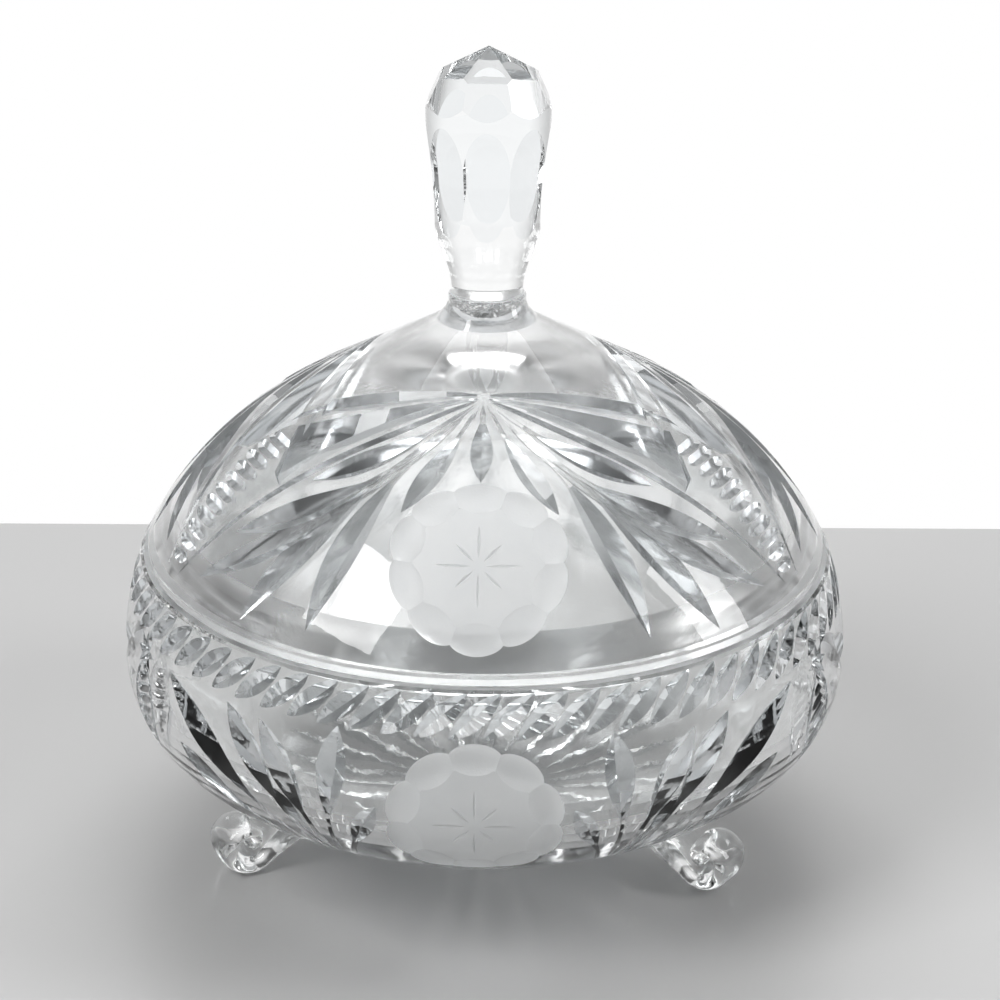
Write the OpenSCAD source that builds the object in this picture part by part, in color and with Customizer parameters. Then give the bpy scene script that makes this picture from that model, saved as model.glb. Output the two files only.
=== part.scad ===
// Covered candy dish in cut crystal: a round bowl on three scroll feet, a domed lid and a cut finial.
// Millimetres, +Z up. The origin is on the table, under the middle of the dish, and -Y is the front.
// Angles round the dish are counted from the front, towards +X.

/* [Bowl] */
// Widest diameter of the bowl
dish_d = 165; // [155:1:180]
// Height of the widest ring above the table
belly_z = 47.5; // [44:0.5:52]
// Height of the ground rim above the table
rim_z = 71.3; // [68:0.1:76]
// Radius of the curve from the widest ring up to the rim
mouth_turn = 65; // [50:1:90]
// Radius of the curve from the widest ring down to the underside
belly_turn = 25; // [20:0.5:30]
// Height of the underside above the table
base_z = 4; // [2:0.5:8]
// Thickness of the bowl's glass
bowl_wall = 6.5; // [5:0.25:8]

/* [Feet] */
// Distance from the widest ring of the bowl in to the middle of each scroll
foot_inset = 22.3; // [16:0.1:28]
// Diameter of the scroll
scroll_d = 14.4; // [13:0.2:17]
// Thickness of the strap of glass that is curled into the scroll
strap_t = 4.6; // [4:0.1:5]
// Width of the strap
strap_w = 11.5; // [9:0.5:15]
// Depth of the flat that the scroll settled on
foot_flat = 0.25; // [0.1:0.05:0.6]
// Angle from the outer side of the scroll, under it, to where the strap leaves it
strap_lead = 130; // [120:1:140]
// Length of the arm from the scroll to its root inside the bowl's outline
arm_l = 20; // [18:0.5:26]
// Thickness of the arm at its root
root_t = 11; // [8:0.5:13]

/* [Lid] */
// How far the bowl's rim shows outside the lid's edge
rim_ledge = 1.5; // [0.5:0.25:3]
// Height of the lid's straight edge
lid_edge = 2.7; // [1:0.1:5]
// Radius of the dome's curve
dome_turn = 88; // [85:1:120]
// Slope of the conical top of the dome, in degrees
top_slope = 28.5; // [20:0.5:35]
// Thickness of the lid's glass
lid_wall = 6; // [4.5:0.25:7.5]
// Depth of the locating lip below the seat
lip_depth = 5; // [3:0.5:8]
// Thickness of the locating lip
lip_wall = 4; // [3:0.25:5]
// Radial play of the lip in the bowl's mouth
lip_play = 0.5; // [0.3:0.1:1.2]
// Gap that the grinding marks leave at the seat
seat_gap = 0.05; // [0.02:0.01:0.2]
// Turn of the lid on its seat, in degrees
lid_turn = 0; // [0:0.5:120]

/* [Finial] */
// Diameter of the collar under the finial
collar_d = 17.2; // [16:0.2:20]
// Height of the collar at its edge
collar_h = 4.5; // [3:0.25:7]
// Width of the flare at the foot of the collar
collar_flare = 2.5; // [1:0.25:4]
// Thickness of the bond between the collar and the finial
bond_t = 0.05; // [0.02:0.01:0.2]
// Diameter of the finial's neck
neck_d = 15.6; // [14:0.2:17]
// Height of the straight neck
neck_h = 3; // [1:0.5:5]
// Height at which the stem runs into the barrel
stem_h = 14; // [9:0.5:16]
// Diameter at the top of the stem
stem_d = 23; // [20:0.5:26]
// Height of the barrel's widest ring
barrel_h = 38; // [32:0.5:40]
// Widest diameter of the finial
finial_d = 27.2; // [25:0.2:30]
// Height of the finial
finial_h = 54.8; // [52:0.2:60]
// Height of the corners between the crown and the shoulder
crown_h = 50; // [46:0.2:51]
// Diameter of the crown at those corners
crown_d = 19.6; // [17:0.2:22]
// Slope of the shoulder's facets, in degrees
shoulder_slope = 66; // [60:1:72]
// Height of the oval windows cut in the barrel
window_h = 26; // [18:0.5:28]
// Height of their middle
window_z = 27; // [24:0.5:30]
// Depth of the windows
window_depth = 0.5; // [0.3:0.1:1]

/* [Cuts] */
// Angle that the front panel takes up round the dish; the other two panels share the rest, in degrees
front_panel = 128; // [116:1:132]
// Depth of the leaves cut in the bowl
bowl_cut = 2.4; // [1.5:0.1:3]
// Width of those leaves
bowl_leaf_w = 6.8; // [5:0.2:8]
// Depth of the leaves cut in the lid
lid_cut = 2.1; // [1.4:0.1:2.6]
// Width of those leaves
lid_leaf_w = 7.2; // [5:0.2:8]
// Depth of the slanted flutes under the rim
flute_cut = 1.3; // [0.8:0.1:1.8]
// Width of a flute
flute_w = 4.8; // [3:0.2:5]
// How far a flute leans over from its lower end to its upper end, in degrees round the dish
flute_lean = 5.8; // [3:0.2:8]

/* [Hidden] */
$fn = 96;
crystal = [0.90, 0.95, 0.97, 0.45];
// Length by which a cutting tool or a fill runs past the surface that it meets
past = 1;
// The feet were set by eye, so the left one sits a little further round than the right one
foot_angles = [-64, 60, 180];

// Panels of the pattern, as [angle of the middle, width]
side_panel = (360 - front_panel) / 2;
panels = [[0, front_panel], [180 - side_panel / 2, side_panel], [side_panel / 2 - 180, side_panel]];
flutes = 72;
// A flute's ends, as shares of the way up the bowl
flute_ends = [0.862, 0.988];
// A small leaf against a large one
small = 0.68;

// Leaves of a fan, as [start, tip, size]. On the bowl a place is a share of the half panel and a share of the
// way up, on the lid a share of the half panel and a share of the way out to the edge.
upright_leaf = [[0.345, 0.53], [0.318, 0.862], 1];
second_leaf = [[0.405, 0.51], [0.528, 0.825], 1];
third_leaf = [[0.48, 0.55], [0.628, 0.835], 1];
great_leaf = [[0.545, 0.505], [0.86, 0.828], 1];
low_leaf = [[0.575, 0.435], [0.8, 0.61], 0.9];
inner_leaf = [[0.298, 0.42], [0.224, 0.615], small];
bowl_fan = [upright_leaf, second_leaf, third_leaf, great_leaf, low_leaf, inner_leaf];
short_leaf = [[0.08, 0.455], [0.272, 0.718], 0.9];
upper_leaf = [[0.345, 0.475], [0.67, 0.692], 1];
top_leaf = [[0.26, 0.4], [0.855, 0.711], 1];
middle_leaf = [[0.54, 0.582], [0.823, 0.864], 1];
side_leaf = [[0.575, 0.685], [0.891, 0.966], 1];
lower_leaf = [[0.365, 0.69], [0.664, 0.975], 1];
front_leaf = [[0.238, 0.69], [0.448, 0.966], 1];
lid_top_fan = [short_leaf, upper_leaf, top_leaf];
lid_edge_fan = [middle_leaf, side_leaf, lower_leaf, front_leaf];
middle_line = [[0, 0.4], [0, 0.622], small];

// Bowl: the curves are arcs in the plane of the radius and the height
dish_r = dish_d / 2;
mouth_c = [dish_r - mouth_turn, belly_z];
belly_c = [dish_r - belly_turn, belly_z];
belly_rise = belly_z - base_z;
base_turn = (belly_c[0] * belly_c[0] + belly_rise * belly_rise - belly_turn * belly_turn)
    / (2 * (belly_rise - belly_turn));
base_c = [0, base_z + base_turn];
rim_r = mouth_c[0] + sqrt(pow(mouth_turn, 2) - pow(rim_z - belly_z, 2));
mouth_r = mouth_c[0] + sqrt(pow(mouth_turn - bowl_wall, 2) - pow(rim_z - belly_z, 2));

// Lid: a straight edge, a dome that is part of a sphere, and a conical top that runs smoothly into it
lid_r = rim_r - rim_ledge;
seat_z = rim_z + seat_gap;
edge_z = seat_z + lid_edge;
dome_z = edge_z - sqrt(pow(dome_turn, 2) - pow(lid_r, 2));
lip_r = mouth_r - lip_play;
function cone_r(wall) = (dome_turn - wall) * sin(top_slope);
function cone_z(r, wall) = dome_z + (dome_turn - wall) / cos(top_slope) - r * tan(top_slope);
collar_r = collar_d / 2;
collar_z = cone_z(collar_r, 0) + collar_h;
finial_z = collar_z + bond_t;

// Finial: a stem that swells into a barrel under a faceted crown
finial_r = finial_d / 2;
neck_r = neck_d / 2;
stem_r = stem_d / 2;
crown_r = crown_d / 2;
crown_facets = 6;
shoulder_facets = 8;
windows = 8;
crown_slope = atan((finial_h - crown_h) / (crown_r * cos(180 / crown_facets)));
barrel_lean = atan((finial_r - stem_r) / (barrel_h - stem_h));
window_r = stem_r + (window_z - stem_h) * tan(barrel_lean);
window_turn = (pow(window_h / 2, 2) + pow(window_depth, 2)) / (2 * window_depth);

// Feet
foot_reach = dish_r - foot_inset;
scroll_r = scroll_d / 2;
scroll_z = scroll_r - foot_flat;
coil_r = scroll_r - strap_t / 2;
eye_gap = 0.2;
strap_flat = strap_w - strap_t;
eye_r = strap_t / 2 + eye_gap;

// Turns a piece drawn on the +X side to an angle counted from the front
module at_angle(a) {
    rotate(a - 90) children();
}

// Half section of the space inside the bowl's outer surface, moved in by a wall
module bowl_section(wall, top) {
    far = 2 * base_turn;
    lead = (belly_c - base_c) / norm(belly_c - base_c);
    intersection() {
        translate([0, belly_z]) square([dish_r, top - belly_z]);
        translate(mouth_c) circle(mouth_turn - wall);
    }
    intersection() {
        square([dish_r, belly_z]);
        union() {
            translate(belly_c) circle(belly_turn - wall);
            intersection() {
                translate(base_c) circle(base_turn - wall);
                polygon([base_c, [0, base_c[1] - far], base_c + far * lead]);
            }
        }
    }
}

// Half section of the space inside the lid's outer surface, moved in by a wall
module lid_section(wall, bottom) {
    cone_end = cone_r(wall);
    translate([0, bottom]) square([lid_r - wall, edge_z - bottom]);
    polygon([[0, bottom], [cone_end, bottom], [cone_end, cone_z(cone_end, wall)], [0, cone_z(0, wall)]]);
    intersection() {
        translate([cone_end, bottom]) square([lid_r - cone_end, dome_turn]);
        translate([0, dome_z]) circle(dome_turn - wall);
    }
}

// Places on the glass, from the shares of a leaf in a panel of some width
function unit(v) = v / norm(v);
turn_z = base_c[1] + base_turn * unit(belly_c - base_c)[1];
function bowl_r(z) = z > belly_z ? mouth_c[0] + sqrt(pow(mouth_turn, 2) - pow(z - belly_z, 2))
    : z > turn_z ? belly_c[0] + sqrt(pow(belly_turn, 2) - pow(z - belly_z, 2))
    : sqrt(pow(base_turn, 2) - pow(z - base_c[1], 2));
function lid_z(r) = r < cone_r(0) ? cone_z(r, 0) : dome_z + sqrt(pow(dome_turn, 2) - r * r);
function turned(a, r, z) = [r * sin(a), -r * cos(a), z];
function on_bowl(p, wide) = let (z = base_z + p[1] * (rim_z - base_z)) turned(p[0] * wide / 2, bowl_r(z), z);
function on_lid(p, wide) = let (r = p[1] * lid_r) turned(p[0] * wide / 2, r, lid_z(r));

// Lays a cut so that +X runs along it from p to q and +Z points out of the glass. The crest is the glass over
// its middle, and $swell is how far that rises over the straight line from p to q.
module along_cut(p, q, crest, centre) {
    mid = (p + q) / 2;
    along = unit(q - p);
    lift = crest - centre;
    out = unit(lift - (lift * along) * along);
    across = cross(out, along);
    $half = norm(q - p) / 2;
    $swell = (crest - mid) * out;
    multmatrix([
        [along[0], across[0], out[0], mid[0]],
        [along[1], across[1], out[1], mid[1]],
        [along[2], across[2], out[2], mid[2]],
        [0, 0, 0, 1]
    ]) children();
}

// The V-shaped edge of a mitre wheel: an arc that is deepest halfway and comes out of the glass at both ends
module wheel_groove(depth, width) {
    rise = $swell - depth;
    way = sign(rise);
    turn = (pow($half, 2) + pow(rise, 2)) / (2 * abs(rise));
    run_out = 1.05;
    reach = run_out * asin(min(1, $half / turn));
    tall = 1.25 * depth;
    spread = tall * width / depth / 2;
    edge = [[turn, 0], [turn + way * tall, spread], [turn + way * tall, -spread]];
    translate([0, 0, rise - way * turn]) rotate([90, 0, 0]) rotate(way * 90 - reach)
        rotate_extrude(angle = 2 * reach) polygon(edge);
}

// The same cut in short flat strokes, for the conical top of the lid and for the flutes
module stroke_groove(depth, width, strokes) {
    rise = $swell - depth;
    run_out = 1.04;
    lean = atan(2 * depth / width);
    tall = 2.5 * depth;
    function bed(t) = [t * $half, rise * (1 - t * t)];
    low = [for (i = [0 : strokes]) bed(run_out * (2 * i / strokes - 1))];
    high = [for (i = [strokes : -1 : 0]) low[i] + [0, tall]];
    section = [for (p = concat(low, high)) [p[0], p[1] * cos(lean)]];
    intersection_for (side = [-1, 1]) rotate([90 + side * lean, 0, 0])
        linear_extrude(4 * width, center = true) polygon(section);
}

module on_bowl_from(p, q, wide) {
    along_cut(on_bowl(p, wide), on_bowl(q, wide), on_bowl((p + q) / 2, wide), [0, 0, belly_z]) children();
}

module on_lid_from(p, q, wide) {
    along_cut(on_lid(p, wide), on_lid(q, wide), on_lid((p + q) / 2, wide), [0, 0, dome_z]) children();
}

// Repeats a half panel's cuts in every panel and on both sides of its middle; $wide is the panel's width
module each_half_panel() {
    for (panel = panels) rotate(panel[0]) for (side = [0, 1]) mirror([side, 0, 0]) {
        $wide = panel[1];
        children();
    }
}

module bowl_cuts() {
    each_half_panel() for (leaf = bowl_fan)
        on_bowl_from(leaf[0], leaf[1], $wide) wheel_groove(leaf[2] * bowl_cut, leaf[2] * bowl_leaf_w);
    for (i = [0 : flutes - 1]) rotate(i * 360 / flutes)
        on_bowl_from([-1, flute_ends[0]], [1, flute_ends[1]], flute_lean)
            stroke_groove(flute_cut, flute_w, 2);
}

module lid_cuts() {
    each_half_panel() {
        for (leaf = lid_edge_fan)
            on_lid_from(leaf[0], leaf[1], $wide) wheel_groove(leaf[2] * lid_cut, leaf[2] * lid_leaf_w);
        for (leaf = lid_top_fan)
            on_lid_from(leaf[0], leaf[1], $wide) stroke_groove(leaf[2] * lid_cut, leaf[2] * lid_leaf_w, 6);
    }
    for (panel = panels) rotate(panel[0]) on_lid_from(middle_line[0], middle_line[1], panel[1])
        stroke_groove(small * lid_cut, small * lid_leaf_w, 6);
}

module bowl() {
    color(crystal) difference() {
        rotate_extrude() difference() {
            bowl_section(0, rim_z);
            bowl_section(bowl_wall, rim_z + past);
        }
        bowl_cuts();
    }
}

// Half section of the collar, rooted in the glass of the conical top
module collar_section() {
    foot_r = collar_r + collar_flare;
    polygon([
        [0, cone_z(0, lid_wall / 2)],
        [foot_r, cone_z(foot_r, 0)],
        [collar_r, cone_z(collar_r, 0) + collar_flare],
        [collar_r, collar_z],
        [0, collar_z]
    ]);
}

module lid() {
    color(crystal) rotate(lid_turn) difference() {
        rotate_extrude() {
            difference() {
                lid_section(0, seat_z);
                lid_section(lid_wall, seat_z - past);
            }
            intersection() {
                lid_section(0, seat_z - lip_depth);
                translate([lip_r - lip_wall, seat_z - lip_depth])
                    square([lip_wall, lip_depth + lid_edge + lid_wall]);
            }
            collar_section();
        }
        lid_cuts();
    }
}

// A strap of glass with round sides, curled about an axis across it
module coil(r, from, sweep) {
    rotate([90, 0, 0]) rotate(from) rotate_extrude(angle = sweep) translate([r, 0]) {
        square([strap_t, strap_flat], center = true);
        for (side = [-1, 1]) translate([0, side * strap_flat / 2]) circle(d = strap_t);
    }
}

// The strap's straight stretch along +Z, thickening towards its root
module arm() {
    rotate([90, 0, 0]) linear_extrude(strap_flat, center = true)
        polygon([[-strap_t / 2, 0], [strap_t / 2, 0], [root_t / 2, arm_l], [-root_t / 2, arm_l]]);
    for (side = [-1, 1]) translate([0, side * strap_flat / 2, 0])
        cylinder(d1 = strap_t, d2 = root_t, h = arm_l);
}

// One curled foot on the +X side, before it is fitted to the bowl
module scroll_foot() {
    top = 90;
    half_turn = 180;
    translate([foot_reach, 0, scroll_z]) {
        coil(coil_r, -strap_lead, top + strap_lead);
        translate([0, 0, coil_r - eye_r]) coil(eye_r, top, half_turn);
        rotate([0, strap_lead, 0]) translate([coil_r, 0, 0]) rotate([half_turn, 0, 0]) arm();
    }
}

module foot(a) {
    color(crystal) at_angle(a) difference() {
        scroll_foot();
        rotate_extrude() bowl_section(0, rim_z);
        translate([0, -dish_r, -dish_d]) cube([dish_d, dish_d, dish_d]);
    }
}

module foot_left() {
    foot(foot_angles[0]);
}

module foot_right() {
    foot(foot_angles[1]);
}

module foot_back() {
    foot(foot_angles[2]);
}

// The side of a flat grinding face that cuts glass away: it slopes down towards +X through a point
module flat_cut(at, slope) {
    translate(at) rotate([0, slope, 0]) translate([-finial_h, -finial_h, 0]) cube(2 * finial_h);
}

// A window is ground by the rim of a broad wheel that leans with the barrel
module window_cut() {
    translate([window_r, 0, window_z]) rotate([0, barrel_lean, 0])
        translate([window_turn - window_depth, 0, 0]) rotate([90, 0, 0])
        cylinder(r = window_turn, h = finial_d, center = true);
}

module finial() {
    color(crystal) translate([0, 0, finial_z]) rotate(lid_turn) difference() {
        rotate_extrude() polygon([
            [0, 0],
            [neck_r, 0],
            [neck_r, neck_h],
            [stem_r, stem_h],
            [finial_r, barrel_h],
            [finial_r, finial_h],
            [0, finial_h]
        ]);
        for (i = [0 : crown_facets - 1])
            at_angle(i * 360 / crown_facets) flat_cut([0, 0, finial_h], crown_slope);
        for (i = [0 : shoulder_facets - 1])
            at_angle(i * 360 / shoulder_facets) flat_cut([crown_r, 0, crown_h], shoulder_slope);
        for (i = [0 : windows - 1]) at_angle(i * 360 / windows) window_cut();
    }
}

bowl();
foot_left();
foot_right();
foot_back();
lid();
finial();
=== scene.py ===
# %% [markdown]
# # A covered candy dish in cut crystal
#
# The dish is clear lead glass: a round bowl on three curled feet, a domed lid and a solid knob. A glass
# cutter held the blanks against turning wheels and ground leaves, flutes and ladders into them. This lesson
# turns the same blanks, grinds the same cuts with mesh tools, and then lets refraction do the rest.
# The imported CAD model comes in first, as a fixed frame. Its box is kept, because looks may not change sizes.

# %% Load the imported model
import math

import bmesh
import bpy
import numpy as np
from mathutils import Matrix, Vector


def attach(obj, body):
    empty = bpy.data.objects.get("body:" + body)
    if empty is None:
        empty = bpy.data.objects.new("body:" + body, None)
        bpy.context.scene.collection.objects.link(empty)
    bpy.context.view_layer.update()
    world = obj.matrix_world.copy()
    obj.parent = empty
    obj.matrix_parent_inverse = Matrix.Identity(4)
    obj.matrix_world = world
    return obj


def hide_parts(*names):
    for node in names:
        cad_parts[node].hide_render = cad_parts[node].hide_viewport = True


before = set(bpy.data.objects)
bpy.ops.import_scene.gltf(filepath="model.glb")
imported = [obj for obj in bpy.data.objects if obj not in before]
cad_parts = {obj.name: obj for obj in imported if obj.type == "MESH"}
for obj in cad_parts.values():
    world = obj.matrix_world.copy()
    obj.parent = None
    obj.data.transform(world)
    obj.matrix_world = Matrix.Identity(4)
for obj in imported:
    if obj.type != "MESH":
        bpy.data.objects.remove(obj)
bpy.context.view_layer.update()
MM = 0.001

# %% [markdown]
# The camera stands where the photographer's did: a little above the dish, about 0.6 m away, with a long
# lens. It could be aimed with a Track To constraint. Instead, its place and its roll were worked out from
# the outline of the dish, so they are written as distances and angles, and a matrix puts it there.

# %% Camera
CAMERA_TURN = math.radians(1.0)
CAMERA_RISE = math.radians(22.6)
CAMERA_ROLL = math.radians(0.53)
CAMERA_AWAY = 620 * MM
AIM_RIGHT = 3.22 * MM
AIM_UP = 80.8 * MM
SENSOR_MM, LENS_MM = 36, 98.28
camera_right = Vector((math.cos(CAMERA_TURN), math.sin(CAMERA_TURN), 0))
camera_back = Vector((
    math.sin(CAMERA_TURN) * math.cos(CAMERA_RISE),
    -math.cos(CAMERA_TURN) * math.cos(CAMERA_RISE),
    math.sin(CAMERA_RISE),
))
camera_up = camera_back.cross(camera_right)
camera_at = camera_right * AIM_RIGHT + Vector((0, 0, AIM_UP)) + camera_back * CAMERA_AWAY
camera = bpy.data.objects.new("camera", bpy.data.cameras.new("camera"))
bpy.context.scene.collection.objects.link(camera)
axes = Matrix((camera_right, camera_up, camera_back)).transposed().to_4x4()
camera.matrix_world = Matrix.Translation(camera_at) @ axes @ Matrix.Rotation(CAMERA_ROLL, 4, "Z")
camera.data.sensor_width = SENSOR_MM
camera.data.lens = LENS_MM
bpy.context.scene.camera = camera
print("camera at", [round(v, 4) for v in camera_at])

# %% [markdown]
# Shaders are easier to read as sums than as wires. `Wire` stands for one output of a node, and adding or
# multiplying wires puts the Math nodes in. Every other node comes from `Bench.node`, which takes the node's
# type, then its settings, then what goes into its sockets.

# %% Shader bench
class Wire:
    def __init__(self, bench, socket):
        self.bench = bench
        self.socket = socket

    def math(self, how, first, second):
        return self.bench.node("ShaderNodeMath", {"operation": how}, {0: first, 1: second})

    def __add__(self, other):
        return self.math("ADD", self, other)

    __radd__ = __add__

    def __sub__(self, other):
        return self.math("SUBTRACT", self, other)

    def __rsub__(self, other):
        return self.math("SUBTRACT", other, self)

    def __mul__(self, other):
        return self.math("MULTIPLY", self, other)

    __rmul__ = __mul__

    def __truediv__(self, other):
        return self.math("DIVIDE", self, other)


class Bench:
    def __init__(self, tree):
        tree.nodes.clear()
        self.tree = tree

    def node(self, kind, settings=None, sockets=None, out=0):
        made = self.tree.nodes.new(kind)
        for name, value in (settings or {}).items():
            if name == "stops":
                ramp = made.color_ramp
                while len(ramp.elements) < len(value):
                    ramp.elements.new(0.5)
                for element, (place, grey) in zip(ramp.elements, value):
                    element.position = place
                    element.color = (grey, grey, grey, 1)
            else:
                setattr(made, name, value)
        for name, value in (sockets or {}).items():
            if isinstance(value, Wire):
                self.tree.links.new(value.socket, made.inputs[name])
            else:
                made.inputs[name].default_value = value
        return Wire(self, made.outputs[out]) if made.outputs else None

    def noise(self, scale, detail):
        place = self.node("ShaderNodeTexCoord", out="Object")
        return self.node("ShaderNodeTexNoise", {}, {"Vector": place, "Scale": scale, "Detail": detail})

    def mix(self, share, first, second, how="MIX"):
        """A mix of two colours. Its sockets go by number, since the node has several of each name."""
        settings = {"data_type": "RGBA", "blend_type": how}
        return self.node("ShaderNodeMix", settings, {0: share, 6: first, 7: second}, out=2)


def new_finish(name):
    material = bpy.data.materials.new(name)
    material.use_nodes = True
    return material, Bench(material.node_tree)


print("shader bench ready")

# %% [markdown]
# Crystal is colourless, so its finish is in its surface. Polished crystal is not quite flat: the polishing
# acid leaves a faint swell and the last felt wheel leaves a finer one. Both are bump, far too small to
# model, and finger marks vary the roughness a little. A Glass shader could do this. The Principled one is
# used because other programs can read it too.
# One function makes every clear finish, so they differ in what the maker did to the glass, except for the
# grey tints of painted shade on the cuts and on the knob's facets. The inside of the bowl took its skin from
# a mould. The inside of the lid is duller still: in the photo its far side does not show through. The feet
# were shaped hot, and the cement under the knob is full of small wrinkles. The flanks of a cut throw the
# light aside, so a leaf looks a shade darker than the glass round it. In this pale studio a grey tint paints
# that shade on the flanks, and a paler grey tint paints a lighter shade on the knob's facets and windows.

# %% Clear crystal
LEAD_GLASS_IOR = 1.545
SWELL_SCALE, FELT_SCALE, MARK_SCALE = 90.0, 700.0, 45.0
SWELL_HEIGHT = 0.6 * MM
MARKS_FROM, MARKS_TO = 0.5, 0.75
CLEAR = (0.985, 0.992, 0.992, 1)
CEMENT = (0.97, 0.98, 0.98, 1)
# Painted shade: a paler grey tint that darkens the knob's facets and windows.
PAINTED_SHADE_PALE_GREY = (0.9, 0.92, 0.93, 1)
# Painted shade: a grey tint that darkens the flanks of the cuts.
PAINTED_SHADE_GREY = (0.64, 0.67, 0.69, 1)


def crystal_finish(name, swell, haze, dull=0.004, tint=CLEAR, felt=0.08):
    """Clear glass. Swell and felt are the strengths of its waves, dull its roughness, haze its marks."""
    material, bench = new_finish(name)
    broad = bench.noise(SWELL_SCALE, detail=1.0)
    fine = bench.noise(FELT_SCALE, detail=2.0)
    smear = bench.node("ShaderNodeMapRange", {}, {
        "Value": bench.noise(MARK_SCALE, detail=4.0), "From Min": MARKS_FROM, "From Max": MARKS_TO,
    })
    bump = bench.node("ShaderNodeBump", {}, {
        "Height": broad + fine * felt, "Strength": swell, "Distance": SWELL_HEIGHT,
    })
    surface = bench.node("ShaderNodeBsdfPrincipled", {}, {
        "Base Color": tint, "IOR": LEAD_GLASS_IOR, "Transmission Weight": 1.0,
        "Roughness": smear * haze + dull, "Normal": bump,
    })
    bench.node("ShaderNodeOutputMaterial", {}, {"Surface": surface})
    return material


polished = crystal_finish("polished_crystal", swell=0.10, haze=0.02)
moulded = crystal_finish("moulded_bowl", swell=0.35, haze=0.03, dull=0.05)
blown = crystal_finish("blown_lid", swell=0.4, haze=0.03, dull=0.15)
hot_worked = crystal_finish("hot_worked_crystal", swell=0.22, haze=0.03)
# The grey tint on the flanks of the wheel cuts is painted shade.
wheel_cut_painted_shade = crystal_finish("wheel_cut_crystal_painted_shade", swell=0.06, haze=0.02, tint=PAINTED_SHADE_GREY)
# The pale grey tint on the knob's facets and windows is painted shade.
facet_finish_painted_shade = crystal_finish("knob_facets_painted_shade", swell=0.03, haze=0.01, tint=PAINTED_SHADE_PALE_GREY)
bonded = crystal_finish("bonded_collar", swell=0.9, haze=0.05, dull=0.02, tint=CEMENT, felt=1.2)
print("clear finishes:", polished.name, moulded.name, blown.name, hot_worked.name)

# %% [markdown]
# The round panels and the seats are left as the fine wheel leaves them: white and satin. Light is scattered
# in a skin of tiny pits, so part of it comes back and part goes through blurred. A mix of a white and a
# clear shader could do this. One surface that lets only part of the light through is simpler. A speckle in
# the roughness and a grain in the bump keep it from looking like paint.

# %% Satin crystal
CLOUD_SCALE, SPECKLE = 120.0, 0.12
PIT_DEPTH, PIT_STRENGTH = 0.2 * MM, 0.25
SATIN_SHADE, SATIN_LIGHT = (0.86, 0.88, 0.89, 1), (0.96, 0.97, 0.97, 1)


def satin_finish(name, through, rough, grain_scale):
    material, bench = new_finish(name)
    grain = bench.noise(grain_scale, detail=3.0)
    cloud = bench.noise(CLOUD_SCALE, detail=2.0)
    bump = bench.node("ShaderNodeBump", {}, {
        "Height": grain, "Strength": PIT_STRENGTH, "Distance": PIT_DEPTH,
    })
    pale = bench.mix(cloud, SATIN_SHADE, SATIN_LIGHT)
    surface = bench.node("ShaderNodeBsdfPrincipled", {}, {
        "Base Color": pale, "IOR": LEAD_GLASS_IOR, "Transmission Weight": through,
        "Roughness": grain * SPECKLE + (rough - SPECKLE / 2), "Normal": bump,
    })
    bench.node("ShaderNodeOutputMaterial", {}, {"Surface": surface})
    return material


satin = satin_finish("satin_panel", through=0.4, rough=0.45, grain_scale=2600.0)
ground = satin_finish("ground_seat", through=0.85, rough=0.32, grain_scale=3400.0)
FINISHES = (polished, satin, ground, moulded, blown, wheel_cut_painted_shade, facet_finish_painted_shade, bonded)
POLISHED, SATIN, GROUND, MOULDED, BLOWN, CUT_WITH_PAINTED_SHADE, FACET_WITH_PAINTED_SHADE, BONDED = range(len(FINISHES))
print("satin finishes:", satin.name, ground.name)

# %% [markdown]
# The sizes are those of the CAD source, in millimetres. The bowl's outside is three arcs that run into each
# other: a shallow underside, a tight belly and a long curve up to the rim. The lid is a short straight
# edge, part of a sphere and a conical top. A traced outline would be quicker, but with arcs each cut can be
# laid on the true surface.

# %% Curves of the bowl and the lid
DISH_R, BELLY_Z, RIM_Z, BASE_Z = 82.5, 47.5, 71.3, 4.0
MOUTH_TURN, BELLY_TURN, BOWL_WALL = 65.0, 25.0, 6.5
BELLY_C = DISH_R - BELLY_TURN
MOUTH_C = DISH_R - MOUTH_TURN
BELLY_RISE = BELLY_Z - BASE_Z
BASE_TURN = (BELLY_C**2 + BELLY_RISE**2 - BELLY_TURN**2) / (2 * (BELLY_RISE - BELLY_TURN))
BASE_C = BASE_Z + BASE_TURN
BASE_LEAN = math.atan2(BELLY_Z - BASE_C, BELLY_C)
RIM_R = MOUTH_C + math.sqrt(MOUTH_TURN**2 - (RIM_Z - BELLY_Z)**2)
MOUTH_R = MOUTH_C + math.sqrt((MOUTH_TURN - BOWL_WALL)**2 - (RIM_Z - BELLY_Z)**2)

SEAT_GAP, RIM_LEDGE, LID_EDGE, LID_WALL = 0.05, 1.5, 2.7, 6.0
LIP_PLAY, LIP_WALL, LIP_DEPTH = 0.5, 4.0, 5.0
DOME_TURN, TOP_SLOPE = 88.0, math.radians(28.5)
COLLAR_R, COLLAR_H, COLLAR_FLARE = 8.6, 4.5, 2.5
SEAT_Z = RIM_Z + SEAT_GAP
LID_R = RIM_R - RIM_LEDGE
LID_EDGE_Z = SEAT_Z + LID_EDGE
DOME_Z = LID_EDGE_Z - math.sqrt(DOME_TURN**2 - LID_R**2)
LIP_R = MOUTH_R - LIP_PLAY
CONE_R = DOME_TURN * math.sin(TOP_SLOPE)


def cone_z(r):
    return DOME_Z + DOME_TURN / math.cos(TOP_SLOPE) - r * math.tan(TOP_SLOPE)


COLLAR_Z = cone_z(COLLAR_R) + COLLAR_H
print(f"rim radius {RIM_R:.2f} mm, lid radius {LID_R:.2f} mm, collar top at {COLLAR_Z:.2f} mm")

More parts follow.
